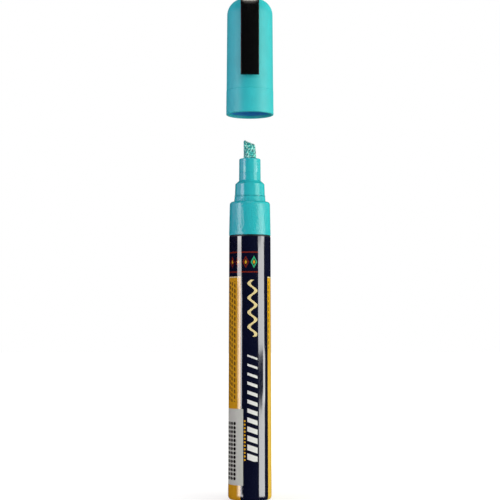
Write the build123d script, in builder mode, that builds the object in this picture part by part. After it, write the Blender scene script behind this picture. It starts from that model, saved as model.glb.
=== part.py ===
from build123d import *
from math import cos, radians, sin, sqrt, tan
import os

os.makedirs("parts", exist_ok=True)

# A liquid chalk marker: a valve-fed pen with a chisel nib and a pull-off cap.
# The pen stands upright on its tail. Z runs from the tail up to the nib, and the cap hangs
# clear above the nib, in line with it, as when it has just been pulled off.
# Sizes are in millimetres. The cap's clip faces -Y.

# Clearances
press_play = 0.03  # radial, round a piece that is pressed into a bore
slide_play = 0.10  # radial, round a piece that slides in a bore
cap_play = 0.10  # radial, between the cap's mouth and the collar
stop_gap = 0.05  # along Z, where a moving piece comes to rest

# Tail plug: closes the wide end of the barrel, and the pen stands on it
plug_head_height = 2.4
plug_edge_round = 1.2
plug_skirt_length = 7.5
plug_wall = 1.1
plug_floor = 1.9  # thickness at the axis, where the floor is dished
plug_dish_angle = 6.0
foot_groove_radius = 4.2
foot_groove_width = 0.7
foot_groove_depth = 0.3

# Barrel: a straight tapered tube, moulded open at the tail
barrel_length = 92.75
barrel_taper = 0.30  # radial, over its length
barrel_wall = 1.0
skirt_relief = 0.25  # radial, between the ribs of a skirt inside the barrel
skirt_rib_width = 0.8

# Printed film, shrunk over the barrel and round the edge of the plug
film_thickness = 0.10
film_top_margin = 0.6
film_wrap_angle = 60.0

# Front collar: the coloured grip ring, its neck, and the skirt that plugs into the barrel
collar_height = 12.3
collar_taper = 0.265  # radial, over its height
collar_overhang = 0.14  # radial, past the barrel
collar_shoulder_round = 1.05
collar_shoulder_flat = 0.265
collar_base_chamfer = 0.2
collar_skirt_length = 9.2
collar_skirt_wall = 0.9
neck_height = 1.9
neck_wall = 1.16
neck_taper = 0.20  # radial, over its height
neck_foot_round = 0.25

# Nozzle: lip, thick shank, cone and slim tube that holds the nib
lip_overhang = 0.09  # radial, past the end of the neck
lip_height = 0.35
shank_step = 0.18  # radial, in from the lip
shank_taper = 0.145
shank_height = 4.25
shank_edge_round = 0.25
cone_height = 1.25
tube_wall = 1.61
tube_taper = 0.075
tube_height = 8.1
tube_edge_chamfer = 0.3
tube_ring_height = 2.8
tube_ring_width = 0.25
tube_ring_depth = 0.06
nozzle_plug_length = 8.0
nozzle_plug_wall = 0.97
nozzle_chamber_step = 0.85  # radial, out from the nib's guide
nozzle_chamber_depth = 3.0
snap_height = 0.15
snap_width = 0.8
snap_place = 5.0  # below the end of the neck
vent_count = 4
vent_radius = 0.35

# Nib: a bonded fibre rod with a chisel end
nib_diameter = 4.5
nib_exposed = 6.85
nib_rear_drop = 0.25  # below the top of the nozzle's chamber
nib_shoulder_step = 0.4
nib_shoulder_length = 8.0
nib_travel = 1.3  # how far the nib can be pressed in
chisel_length = 5.4
chisel_edge = 1.7
chisel_slant = 22.0
chisel_side_angle = 6.0
chisel_round = 0.4
chisel_corner_width = 0.3  # taken off the high end of the edge, across and down
chisel_corner_drop = 0.6
chisel_heel_width = 0.9  # taken off the low end
chisel_heel_drop = 0.3

# Valve: body, seat ring, stem, spring and the cage that holds the spring
valve_play = 0.4  # along Z, between the valve body and the nozzle
valve_flange_thickness = 1.0
valve_tube_step = 0.57  # radial, in from the part that fits the collar
valve_tube_length = 4.6
valve_tube_wall = 0.8
valve_cup_wall = 1.07
valve_seat_place = 6.2  # from the top of the valve body down to its seat plate
valve_seat_thickness = 1.2
window_count = 4
window_width = 2.4
window_margin = 0.2  # along Z, from the windows to the cage and to the flange
seal_thickness = 0.8
seal_overlap = 0.9  # radial, of the poppet over the seal
seal_inset = 0.4  # radial, from the seal's bore in to the port of the seat plate
stem_gap = 0.7  # radial, round the stem in that port
stem_head_inset = 0.15  # radial, in from the rear of the nib
stem_head_thickness = 1.2
stem_notch_count = 3
stem_notch_width = 1.2
stem_notch_depth = 1.0
poppet_gap = 0.7  # radial, round the poppet
poppet_thickness = 1.4
poppet_chamfer = 0.4
pin_landing = 0.4  # radial, of the stem's pin on the floor of the cage
cage_flange_thickness = 0.8
cage_floor = 1.2
cage_wall = 0.7
cage_height = 2.6  # above its flange
spring_wire = 0.5
spring_gap = 0.55  # radial, between the spring and the stem's pin
spring_turns = 6

# Mixing ball, loose in the barrel
ball_diameter = 6.0

# Cap: shell, inner seal and clip
cap_lift = 44.3  # from the closed cap to the cap as it is shown
cap_wall = 0.94
cap_draft = 0.42
cap_band_height = 8.8
cap_band_step = 0.06
cap_end_wall = 3.4
cap_dome_round = 6.0
cap_inner_round = 1.2
cap_mouth_round = 0.2
seal_wall = 0.75
seal_cone_room = 0.4  # along Z, between the nozzle's cone and the inner seal's
seal_throat_play = 0.3
nib_headroom = 3.9
fin_count = 6
fin_width = 0.9
fin_stop = 1.5  # from the closed end of the inner seal down to the fins
clip_width = 6.7
clip_thickness = 1.5
clip_gap = 0.9
clip_length = 29.9
clip_bend = 4.6
clip_proud = 0.15
clip_reach = 7.2  # from the leg to the far end of the root
clip_edge_round = 0.25
clip_peg_width = 4.6
clip_peg_length = 2.2
clip_peg_depth = 1.6
clip_bump_radius = 0.6
clip_bump_place = 2.0  # above the clip's lower end

# Heights along the pen, worked out from the sizes above
barrel_bottom = plug_head_height
barrel_top = barrel_bottom + barrel_length
film_top = barrel_top - film_top_margin
collar_top = barrel_top + collar_height
neck_top = collar_top + neck_height
skirt_bottom = barrel_top - collar_skirt_length
lip_top = neck_top + lip_height
shank_top = lip_top + shank_height
cone_top = shank_top + cone_height
nozzle_top = cone_top + tube_height
nozzle_bottom = neck_top - nozzle_plug_length
chamber_top = nozzle_bottom + nozzle_chamber_depth
nib_tip = nozzle_top + nib_exposed
nib_rear = chamber_top - nib_rear_drop
nib_length = nib_tip - nib_rear
nib_shoulder = nib_rear + nib_shoulder_length
nib_stop = nib_shoulder + stop_gap
valve_top = nozzle_bottom - valve_play
seat_top = valve_top - valve_seat_place
seat_bottom = seat_top - valve_seat_thickness
seal_bottom = seat_bottom - seal_thickness
poppet_top = seal_bottom - stop_gap
poppet_bottom = poppet_top - poppet_thickness
valve_flange_bottom = skirt_bottom - valve_flange_thickness
valve_bottom = valve_flange_bottom - valve_tube_length
cage_bottom = valve_bottom - cage_flange_thickness
cage_top = valve_bottom + cage_height
spring_seat = cage_bottom + cage_floor
pin_bottom = spring_seat + stop_gap + nib_travel

# Radii from the nib outwards: nozzle, neck, collar and barrel
nib_radius = nib_diameter / 2
nib_rear_radius = nib_radius + nib_shoulder_step
nib_bore = nib_radius + slide_play
nib_guide = nib_rear_radius + slide_play
tube_base_radius = nib_bore + tube_wall
tube_top_radius = tube_base_radius - tube_taper
chamber_radius = nib_guide + nozzle_chamber_step
nozzle_plug_radius = chamber_radius + nozzle_plug_wall
neck_bore_radius = nozzle_plug_radius + press_play
neck_base_radius = neck_bore_radius + neck_wall
neck_top_radius = neck_base_radius - neck_taper
lip_radius = neck_top_radius + lip_overhang
shank_base_radius = lip_radius - shank_step
shank_top_radius = shank_base_radius - shank_taper
collar_top_radius = neck_base_radius + neck_foot_round + collar_shoulder_flat + collar_shoulder_round
collar_base_radius = collar_top_radius + collar_taper
barrel_top_radius = collar_base_radius - collar_overhang

# Radii from the barrel's bore inwards: collar skirt, valve and stem
skirt_bore_radius = barrel_top_radius - barrel_wall - skirt_relief - collar_skirt_wall
valve_radius = skirt_bore_radius - press_play
valve_cup_radius = valve_radius - valve_cup_wall
valve_tube_radius = valve_radius - valve_tube_step
valve_chamber = valve_tube_radius - valve_tube_wall
poppet_radius = valve_chamber - poppet_gap
seal_bore_radius = poppet_radius - seal_overlap
port_radius = seal_bore_radius - seal_inset
stem_radius = port_radius - stem_gap
stem_head_radius = nib_rear_radius - stem_head_inset
cage_radius = valve_chamber - press_play
cage_port_radius = stem_radius - pin_landing


def barrel_radius(z):
    """Outer radius of the tapered barrel at height z."""
    return barrel_top_radius + barrel_taper * (barrel_top - z) / barrel_length


def bore_radius(z):
    """Inner radius of the barrel at height z."""
    return barrel_radius(z) - barrel_wall


def ribbed_skirt(low, high):
    """Outline, from low to high, of a skirt that two ribs seal against the barrel's bore."""
    points = [(bore_radius(low) - skirt_relief, low)]
    for share in (1 / 3, 2 / 3):
        middle = low + share * (high - low)
        foot = skirt_rib_width
        crest = skirt_rib_width / 2
        for height, inset in (
            (middle - foot, skirt_relief),
            (middle - crest, press_play),
            (middle + crest, press_play),
            (middle + foot, skirt_relief),
        ):
            points.append((bore_radius(height) - inset, height))
    points.append((bore_radius(high) - skirt_relief, high))
    return points


def rim(part, radius, height):
    """The round edges of a turned part that have this radius at this height."""
    near = 0.005
    circles = part.edges().filter_by(GeomType.CIRCLE)
    return circles.filter_by(
        lambda edge: abs(edge.radius - radius) < near and abs(edge.arc_center.Z - height) < near
    )


# Tail plug: a rounded head, a dished floor and a ribbed skirt
plug_radius = barrel_radius(barrel_bottom)
plug_skirt_top = barrel_bottom + plug_skirt_length
plug_bore = bore_radius(plug_skirt_top) - skirt_relief - plug_wall
plug_dish_rise = plug_bore * tan(radians(plug_dish_angle))
with BuildPart() as tail_plug:
    with BuildSketch(Plane.XZ):
        with BuildLine():
            Polyline(
                (0, 0),
                (foot_groove_radius - foot_groove_width / 2, 0),
                (foot_groove_radius, foot_groove_depth),
                (foot_groove_radius + foot_groove_width / 2, 0),
                (plug_radius, 0),
                (plug_radius, barrel_bottom),
                *ribbed_skirt(barrel_bottom, plug_skirt_top),
                (plug_bore, plug_skirt_top),
                (plug_bore, plug_floor + plug_dish_rise),
                (0, plug_floor),
                close=True,
            )
        make_face()
    revolve(axis=Axis.Z)
    fillet(rim(tail_plug, plug_radius, 0), radius=plug_edge_round)
tail_plug.part.label = "tail_plug"
export_step(tail_plug.part, "parts/tail_plug.step")

# Barrel
with BuildPart() as barrel:
    with BuildSketch(Plane.XZ):
        with BuildLine():
            Polyline(
                (bore_radius(barrel_bottom), barrel_bottom),
                (barrel_radius(barrel_bottom), barrel_bottom),
                (barrel_radius(barrel_top), barrel_top),
                (bore_radius(barrel_top), barrel_top),
                close=True,
            )
        make_face()
    revolve(axis=Axis.Z)
barrel.part.label = "barrel"
export_step(barrel.part, "parts/barrel.step")

# Printed film: follows the barrel, then turns in round the edge of the tail plug
edge_centre = (plug_radius - plug_edge_round, plug_edge_round)
with BuildPart() as label_film:
    with BuildSketch(Plane.XZ):
        with BuildLine():
            inner_turn = CenterArc(edge_centre, plug_edge_round, -film_wrap_angle, film_wrap_angle)
            inner_side = Polyline(
                inner_turn @ 1,
                (plug_radius, barrel_bottom),
                (barrel_radius(film_top), film_top),
            )
            outer_turn = CenterArc(
                edge_centre, plug_edge_round + film_thickness, -film_wrap_angle, film_wrap_angle
            )
            Polyline(
                inner_side @ 1,
                (barrel_radius(film_top) + film_thickness, film_top),
                (plug_radius + film_thickness, barrel_bottom),
                outer_turn @ 1,
            )
            Line(outer_turn @ 0, inner_turn @ 0)
        make_face()
    revolve(axis=Axis.Z)
label_film.part.label = "label_film"
export_step(label_film.part, "parts/label_film.step")

# Front collar
snap_low = neck_top - snap_place - snap_width
snap_high = neck_top - snap_place
snap_middle = (snap_low + snap_high) / 2
with BuildPart() as front_collar:
    with BuildSketch(Plane.XZ):
        with BuildLine():
            Polyline(
                (skirt_bore_radius, skirt_bottom),
                *ribbed_skirt(skirt_bottom, barrel_top),
                (collar_base_radius, barrel_top),
                (collar_top_radius, collar_top),
                (neck_base_radius, collar_top),
                (neck_top_radius, neck_top),
                (neck_bore_radius, neck_top),
                (neck_bore_radius, snap_high),
                (neck_bore_radius + snap_height, snap_middle),
                (neck_bore_radius, snap_low),
                (neck_bore_radius, nozzle_bottom),
                (skirt_bore_radius, nozzle_bottom),
                close=True,
            )
        make_face()
    revolve(axis=Axis.Z)
    fillet(rim(front_collar, collar_top_radius, collar_top), radius=collar_shoulder_round)
    fillet(rim(front_collar, neck_base_radius, collar_top), radius=neck_foot_round)
    chamfer(rim(front_collar, collar_base_radius, barrel_top), length=collar_base_chamfer)
front_collar.part.label = "front_collar"
export_step(front_collar.part, "parts/front_collar.step")

# Nozzle: its plug snaps into the neck, and its bore guides the nib
ring_low = cone_top + tube_ring_height
ring_high = ring_low + tube_ring_width
ring_radius = tube_base_radius - tube_taper * tube_ring_height / tube_height
ring_top_radius = ring_radius - tube_taper * tube_ring_width / tube_height
with BuildPart() as nozzle:
    with BuildSketch(Plane.XZ):
        with BuildLine():
            Polyline(
                (chamber_radius, nozzle_bottom),
                (nozzle_plug_radius, nozzle_bottom),
                (nozzle_plug_radius, snap_low),
                (nozzle_plug_radius + snap_height, snap_middle),
                (nozzle_plug_radius, snap_high),
                (nozzle_plug_radius, neck_top),
                (lip_radius, neck_top),
                (lip_radius, lip_top),
                (shank_base_radius, lip_top),
                (shank_top_radius, shank_top),
                (tube_base_radius, cone_top),
                (ring_radius, ring_low),
                (ring_radius - tube_ring_depth, ring_low),
                (ring_radius - tube_ring_depth, ring_high),
                (ring_top_radius, ring_high),
                (tube_top_radius, nozzle_top),
                (nib_bore, nozzle_top),
                (nib_bore, nib_stop),
                (nib_guide, nib_stop),
                (nib_guide, chamber_top),
                (chamber_radius, chamber_top),
                close=True,
            )
        make_face()
    revolve(axis=Axis.Z)
    fillet(rim(nozzle, shank_top_radius, shank_top), radius=shank_edge_round)
    fillet(rim(nozzle, tube_base_radius, cone_top), radius=shank_edge_round)
    chamfer(rim(nozzle, tube_top_radius, nozzle_top), length=tube_edge_chamfer)
    # Air vents along the nib's bore
    with BuildSketch(Plane.XY.offset(nozzle_top)):
        with PolarLocations(nib_bore, vent_count, start_angle=180 / vent_count):
            Circle(vent_radius)
    extrude(amount=nib_stop - nozzle_top, mode=Mode.SUBTRACT)
nozzle.part.label = "nozzle"
export_step(nozzle.part, "parts/nozzle.step")

# Nib: a round rod with a thicker rear, and a chisel end whose edge slants down from -X to +X
slant = radians(chisel_slant)
edge_low = nib_tip - nib_diameter * tan(slant)
edge_middle = (0, 0, (nib_tip + edge_low) / 2)
edge_heading = (cos(slant), 0, -sin(slant))
flat_spread = (nib_radius - chisel_edge / 2) / chisel_length
flat_foot = (chisel_edge / 2 - nib_rear_radius) / flat_spread
flat_rear = -(nib_length / cos(slant) + nib_diameter)
side_foot = nib_tip - chisel_length
side_inset = (edge_low - side_foot) * tan(radians(chisel_side_angle))
with BuildPart() as nib:
    with BuildSketch(Plane.XZ):
        with BuildLine():
            Polyline(
                (0, nib_rear),
                (nib_rear_radius, nib_rear),
                (nib_rear_radius, nib_shoulder),
                (nib_radius, nib_shoulder),
                (nib_radius, nib_tip),
                (0, nib_tip),
                close=True,
            )
        make_face()
    revolve(axis=Axis.Z)
    # Two flats that close in on the rounded edge, drawn looking along that edge
    with BuildSketch(Plane(edge_middle, x_dir=(0, 1, 0), z_dir=edge_heading)):
        with BuildLine():
            FilletPolyline(
                (chisel_edge / 2, 0),
                (-chisel_edge / 2, 0),
                (-nib_rear_radius, flat_foot),
                (-nib_rear_radius, flat_rear),
                (nib_rear_radius, flat_rear),
                (nib_rear_radius, flat_foot),
                radius=(chisel_round, chisel_round, 0, 0, 0, 0),
                close=True,
            )
        make_face()
    extrude(amount=nib_length, both=True, mode=Mode.INTERSECT)
    # The low side is drawn in, and both ends of the edge have their corners taken off
    with BuildSketch(Plane.XZ):
        with BuildLine():
            Polyline(
                (-nib_rear_radius, nib_rear),
                (nib_rear_radius, nib_rear),
                (nib_rear_radius, side_foot),
                (nib_radius, side_foot),
                (nib_radius - side_inset, edge_low - chisel_heel_drop),
                (nib_radius - side_inset - chisel_heel_width, nib_tip),
                (chisel_corner_width - nib_radius, nib_tip),
                (-nib_radius, nib_tip - chisel_corner_drop),
                (-nib_rear_radius, nib_tip - chisel_corner_drop),
                close=True,
            )
        make_face()
    extrude(amount=nib_rear_radius, both=True, mode=Mode.INTERSECT)
nib.part.label = "nib"
export_step(nib.part, "parts/nib.step")

# Valve body: held in the collar by its flange, with the seat plate across it
valve_flange_radius = bore_radius(skirt_bottom) - skirt_relief
with BuildPart() as valve_body:
    with BuildSketch(Plane.XZ):
        with BuildLine():
            Polyline(
                (valve_chamber, valve_bottom),
                (valve_tube_radius, valve_bottom),
                (valve_tube_radius, valve_flange_bottom),
                (valve_flange_radius, valve_flange_bottom),
                (valve_flange_radius, skirt_bottom),
                (valve_radius, skirt_bottom),
                (valve_radius, valve_top),
                (valve_cup_radius, valve_top),
                (valve_cup_radius, seat_top),
                (port_radius, seat_top),
                (port_radius, seat_bottom),
                (valve_chamber, seat_bottom),
                close=True,
            )
        make_face()
    revolve(axis=Axis.Z)
    # Windows that let the chalk in round the spring
    with BuildSketch(Plane.XY.offset(cage_top + window_margin)):
        with PolarLocations(valve_chamber, window_count):
            Rectangle(valve_tube_radius, window_width)
    extrude(amount=valve_flange_bottom - cage_top - 2 * window_margin, mode=Mode.SUBTRACT)
valve_body.part.label = "valve_body"
export_step(valve_body.part, "parts/valve_body.step")

# Valve seal: a soft ring under the seat plate
with BuildPart() as valve_seal:
    with BuildSketch(Plane.XY.offset(seal_bottom)):
        Circle(valve_chamber - press_play)
        Circle(seal_bore_radius, mode=Mode.SUBTRACT)
    extrude(amount=seal_thickness)
valve_seal.part.label = "valve_seal"
export_step(valve_seal.part, "parts/valve_seal.step")

# Valve stem: the head carries the nib, the poppet closes against the seal, and the pin inside the
# spring stops on the cage's floor when the nib is pressed right in
head_bottom = nib_rear - stem_head_thickness
with BuildPart() as valve_stem:
    with BuildSketch(Plane.XZ):
        with BuildLine():
            Polyline(
                (0, pin_bottom),
                (stem_radius, pin_bottom),
                (stem_radius, poppet_bottom),
                (poppet_radius, poppet_bottom),
                (poppet_radius, poppet_top - poppet_chamfer),
                (poppet_radius - poppet_chamfer, poppet_top),
                (stem_radius, poppet_top),
                (stem_radius, head_bottom),
                (stem_head_radius, head_bottom),
                (stem_head_radius, nib_rear),
                (0, nib_rear),
                close=True,
            )
        make_face()
    revolve(axis=Axis.Z)
    # Notches that let the chalk past the head
    with BuildSketch(Plane.XY.offset(head_bottom)):
        with PolarLocations(stem_head_radius, stem_notch_count):
            Rectangle(2 * stem_notch_depth, stem_notch_width)
    extrude(amount=stem_head_thickness, mode=Mode.SUBTRACT)
valve_stem.part.label = "valve_stem"
export_step(valve_stem.part, "parts/valve_stem.step")

# Spring cage: a flanged cup that closes the valve body and carries the spring
with BuildPart() as spring_cage:
    with BuildSketch(Plane.XZ):
        with BuildLine():
            Polyline(
                (cage_port_radius, cage_bottom),
                (valve_tube_radius, cage_bottom),
                (valve_tube_radius, valve_bottom),
                (cage_radius, valve_bottom),
                (cage_radius, cage_top),
                (cage_radius - cage_wall, cage_top),
                (cage_radius - cage_wall, spring_seat),
                (cage_port_radius, spring_seat),
                close=True,
            )
        make_face()
    revolve(axis=Axis.Z)
spring_cage.part.label = "spring_cage"
export_step(spring_cage.part, "parts/spring_cage.step")

# Valve spring: a coil of round wire, each quarter turn made of two tangent arcs
coil_radius = stem_radius + spring_gap + spring_wire / 2
coil_low = spring_seat + press_play + spring_wire / 2
coil_high = poppet_bottom - press_play - spring_wire / 2
coil_rise = (coil_high - coil_low) / radians(360 * spring_turns)
coil_slope = sqrt(coil_radius**2 + coil_rise**2)


def coil_point(angle):
    """Centre of the wire after this many degrees of turning."""
    turned = radians(angle)
    return Vector(coil_radius * cos(turned), coil_radius * sin(turned), coil_low + coil_rise * turned)


def coil_heading(angle):
    """Direction of the wire after this many degrees of turning."""
    turned = radians(angle)
    return Vector(-coil_radius * sin(turned), coil_radius * cos(turned), coil_rise) / coil_slope


def arc_meeting(start, start_heading, end, end_heading):
    """Where two arcs meet that leave start and reach end along these headings."""
    chord = end - start
    bend = 1 - start_heading.dot(end_heading)
    along = chord.dot(start_heading + end_heading)
    reach = (sqrt(along**2 + 2 * bend * chord.dot(chord)) - along) / (2 * bend)
    return (start + end + (start_heading - end_heading) * reach) / 2


quarter = 90
with BuildPart() as valve_spring:
    with BuildLine() as coil:
        for angle in range(0, 360 * spring_turns, quarter):
            start = coil_point(angle)
            end = coil_point(angle + quarter)
            heading = coil_heading(angle)
            meeting = arc_meeting(start, heading, end, coil_heading(angle + quarter))
            first_arc = TangentArc(start, meeting, tangent=heading)
            TangentArc(meeting, end, tangent=first_arc % 1)
    with BuildSketch(Plane(coil_point(0), z_dir=coil_heading(0))):
        Circle(spring_wire / 2)
    sweep()
valve_spring.part.label = "valve_spring"
export_step(valve_spring.part, "parts/valve_spring.step")

# The least gap between turns, measured on points half a turn or more apart
coil_step = 10
coil_points = [coil_point(angle) for angle in range(0, 360 * spring_turns + 1, coil_step)]
half_turn = 180 // coil_step
coil_gap = min(
    (coil_points[i] - coil_points[j]).length - spring_wire
    for i in range(len(coil_points))
    for j in range(i + half_turn, len(coil_points))
)
print(f"valve spring: least gap between turns {coil_gap:.2f} mm")

# Mixing ball: rests in the dished floor of the tail plug
ball_radius = ball_diameter / 2
ball_rest = plug_floor + ball_radius / cos(radians(plug_dish_angle)) + stop_gap
with BuildPart() as mixing_ball:
    with Locations((0, 0, ball_rest)):
        Sphere(ball_radius)
mixing_ball.part.label = "mixing_ball"
export_step(mixing_ball.part, "parts/mixing_ball.step")

# Heights of the cap, lifted off the pen by cap_lift. Closed, the inner seal stops on the collar.
seal_low = collar_top + stop_gap + cap_lift
seal_cone_low = shank_top + seal_cone_room + cap_lift
seal_cone_high = seal_cone_low + cone_height
seal_throat_top = nib_tip + nib_headroom + cap_lift
seal_high = seal_throat_top + seal_wall
cap_mouth = barrel_top + stop_gap + cap_lift
cap_top = seal_high + cap_end_wall
band_top = cap_mouth + cap_band_height


def cap_bore_radius(z):
    """Inner radius of the cap at height z, drawn in towards the closed end."""
    return collar_base_radius + cap_play - (z - cap_mouth) * tan(radians(cap_draft))


def cap_radius(z):
    """Outer radius of the cap above its thicker band at height z."""
    return cap_bore_radius(z) + cap_wall


# Clip places: the flat leg stands off the shell, and the root lies in a channel across the dome
clip_low = cap_top - clip_length
clip_inner = -(cap_radius(clip_low) + clip_gap)
clip_outer = clip_inner - clip_thickness
clip_top = cap_top + clip_proud
clip_under = clip_top - clip_thickness
clip_end = clip_inner + clip_reach
peg_bottom = clip_under - clip_peg_depth
peg_middle = clip_end - clip_peg_length / 2

# Cap shell
with BuildPart() as cap_shell:
    with BuildSketch(Plane.XZ):
        with BuildLine():
            Polyline(
                (cap_bore_radius(cap_mouth), cap_mouth),
                (cap_radius(cap_mouth) + cap_band_step, cap_mouth),
                (cap_radius(band_top) + cap_band_step, band_top),
                (cap_radius(band_top), band_top),
                (cap_radius(cap_top), cap_top),
                (0, cap_top),
                (0, seal_high),
                (cap_bore_radius(seal_high), seal_high),
                close=True,
            )
        make_face()
    revolve(axis=Axis.Z)
    fillet(rim(cap_shell, cap_radius(cap_top), cap_top), radius=cap_dome_round)
    fillet(rim(cap_shell, cap_bore_radius(seal_high), seal_high), radius=cap_inner_round)
    mouth_edges = cap_shell.edges().filter_by(GeomType.CIRCLE).group_by(Axis.Z)[0]
    fillet(mouth_edges, radius=cap_mouth_round)
    # Channel that follows the clip's root, and the socket for its peg
    with BuildSketch(Plane.YZ):
        with BuildLine():
            FilletPolyline(
                (clip_end + press_play, clip_top),
                (clip_outer, clip_top),
                (clip_outer, clip_low),
                (clip_inner, clip_low),
                (clip_inner, clip_under),
                (clip_end + press_play, clip_under),
                radius=(0, 0, 0, 0, clip_bend - clip_thickness, 0),
                close=True,
            )
        make_face()
    extrude(amount=clip_width / 2 + press_play, both=True, mode=Mode.SUBTRACT)
    with BuildSketch(Plane.XY.offset(clip_under)):
        with Locations((0, peg_middle)):
            Rectangle(clip_peg_width + 2 * press_play, clip_peg_length + 2 * press_play)
    extrude(amount=-(clip_peg_depth + press_play), mode=Mode.SUBTRACT)
cap_shell.part.label = "cap_shell"
export_step(cap_shell.part, "parts/cap_shell.step")

# Cap clip: a flat strap with a bump that grips, bent over the dome
with BuildPart() as cap_clip:
    with BuildSketch(Plane.YZ):
        with BuildLine():
            FilletPolyline(
                (clip_end, clip_top),
                (clip_outer, clip_top),
                (clip_outer, clip_low),
                (clip_inner, clip_low),
                (clip_inner, clip_under),
                (clip_end, clip_under),
                radius=(0, clip_bend, clip_edge_round, clip_edge_round, clip_bend - clip_thickness, 0),
                close=True,
            )
        make_face()
        with Locations((clip_inner, clip_low + clip_bump_place)):
            Circle(clip_bump_radius)
    extrude(amount=clip_width / 2, both=True)
    face_edges = cap_clip.edges().filter_by(Axis.Z).group_by(Axis.Y)[0]
    fillet(face_edges, radius=clip_edge_round)
    with BuildSketch(Plane.XY.offset(clip_under)):
        with Locations((0, peg_middle)):
            Rectangle(clip_peg_width, clip_peg_length)
    extrude(amount=-clip_peg_depth)
cap_clip.part.label = "cap_clip"
export_step(cap_clip.part, "parts/cap_clip.step")

# Inner seal of the cap: a stepped cup that closes round the nozzle, with fins that centre it
seal_mouth_radius = neck_base_radius + slide_play
seal_throat = tube_base_radius + seal_throat_play
fin_low = seal_cone_high
fin_high = seal_high - fin_stop
fin_reach = cap_bore_radius(fin_high) - press_play
fin_root = seal_throat + seal_wall / 2
with BuildPart() as cap_seal:
    with BuildSketch(Plane.XZ):
        with BuildLine():
            Polyline(
                (seal_mouth_radius, seal_low),
                (seal_mouth_radius + seal_wall, seal_low),
                (seal_mouth_radius + seal_wall, seal_cone_low),
                (seal_throat + seal_wall, seal_cone_high),
                (seal_throat + seal_wall, seal_high),
                (0, seal_high),
                (0, seal_throat_top),
                (seal_throat, seal_throat_top),
                (seal_throat, seal_cone_high),
                (seal_mouth_radius, seal_cone_low),
                close=True,
            )
        make_face()
    revolve(axis=Axis.Z)
    with BuildSketch(Plane.XY.offset(fin_low)):
        with PolarLocations((fin_root + fin_reach) / 2, fin_count):
            Rectangle(fin_reach - fin_root, fin_width)
    extrude(amount=fin_high - fin_low)
cap_seal.part.label = "cap_seal"
export_step(cap_seal.part, "parts/cap_seal.step")
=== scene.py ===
from math import cos, pi, radians, sin, sqrt, tan

import bmesh
import bpy
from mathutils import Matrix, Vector


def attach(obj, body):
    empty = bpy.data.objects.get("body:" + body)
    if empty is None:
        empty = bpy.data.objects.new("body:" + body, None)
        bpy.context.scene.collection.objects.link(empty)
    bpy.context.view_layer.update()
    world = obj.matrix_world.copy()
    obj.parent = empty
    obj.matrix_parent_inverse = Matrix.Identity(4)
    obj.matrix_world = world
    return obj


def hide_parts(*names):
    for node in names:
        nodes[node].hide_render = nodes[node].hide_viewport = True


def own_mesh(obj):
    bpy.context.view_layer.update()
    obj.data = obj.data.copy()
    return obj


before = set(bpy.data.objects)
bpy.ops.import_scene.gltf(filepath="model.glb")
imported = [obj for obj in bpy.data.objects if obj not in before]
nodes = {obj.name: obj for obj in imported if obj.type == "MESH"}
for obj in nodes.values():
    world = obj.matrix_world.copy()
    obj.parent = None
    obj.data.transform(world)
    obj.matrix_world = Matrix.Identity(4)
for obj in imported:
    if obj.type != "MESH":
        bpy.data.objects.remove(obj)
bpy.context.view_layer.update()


# Barrel and tail plug: near-black polypropylene mouldings. The plug is pressed into the wide end of
# the tapered barrel, and the barrel shows only in the groove between the film and the collar.
MM = 0.001  # metres in the millimetre, in which sizes are written
BARREL_BLACK = (0.0045, 0.005, 0.009, 1)
SKIN_CLOUDS = 260.0
SKIN_SPREAD = (0.3, 0.7)


def put(tree, kind, sockets=None, **settings):
    """Adds a node, sets its settings, and links or sets its sockets."""
    made = tree.nodes.new(kind)
    for name, value in settings.items():
        setattr(made, name, value)
    for name, value in (sockets or {}).items():
        if isinstance(value, bpy.types.NodeSocket):
            tree.links.new(value, made.inputs[name])
        else:
            made.inputs[name].default_value = value
    return made


def calc(tree, operation, *values):
    """One Math node."""
    return put(tree, "ShaderNodeMath", dict(enumerate(values)), operation=operation).outputs[0]


def noise(tree, place, scale, detail):
    """One Noise texture, from 0 to 1."""
    made = put(tree, "ShaderNodeTexNoise", {"Vector": place, "Scale": scale, "Detail": detail})
    return made.outputs["Fac"]


def ramp(tree, value, start, end, low=0.0, high=1.0):
    """Carries a value from one range over to another."""
    sockets = {"Value": value, "From Min": start, "From Max": end, "To Min": low, "To Max": high}
    return put(tree, "ShaderNodeMapRange", sockets).outputs[0]


def new_group(name, inputs, outputs, kind="ShaderNodeTree"):
    """An empty node group with named sockets, and its two end nodes."""
    group = bpy.data.node_groups.new(name, kind)
    for side, sockets in (("INPUT", inputs), ("OUTPUT", outputs)):
        for socket, value in sockets.items():
            group.interface.new_socket(socket, in_out=side, socket_type="NodeSocket" + value)
    return group, group.nodes.new("NodeGroupInput").outputs, group.nodes.new("NodeGroupOutput").inputs


def moulded_skin_group():
    """Moulded plastic: faint clouds of colour, and the fine grain of the tool in gloss and height."""
    group, given, result = new_group(
        "moulded_skin",
        {
            "Place": "Vector",
            "Color": "Color",
            "Mottle": "Float",
            "Gloss Low": "Float",
            "Gloss High": "Float",
            "Grain": "Float",
        },
        {"Color": "Color", "Roughness": "Float", "Height": "Float"},
    )
    clouds = noise(group, given["Place"], SKIN_CLOUDS, 3.0)
    grain = noise(group, given["Place"], given["Grain"], 2.0)
    level = calc(group, "MULTIPLY_ADD", calc(group, "SUBTRACT", clouds, 0.5), given["Mottle"], 1.0)
    shaded = put(group, "ShaderNodeVectorMath", {0: given["Color"], "Scale": level}, operation="SCALE")
    rough = ramp(group, grain, *SKIN_SPREAD, given["Gloss Low"], given["Gloss High"])
    group.links.new(shaded.outputs[0], result["Color"])
    group.links.new(rough, result["Roughness"])
    group.links.new(grain, result["Height"])
    return group


moulded_skin = moulded_skin_group()


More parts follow.
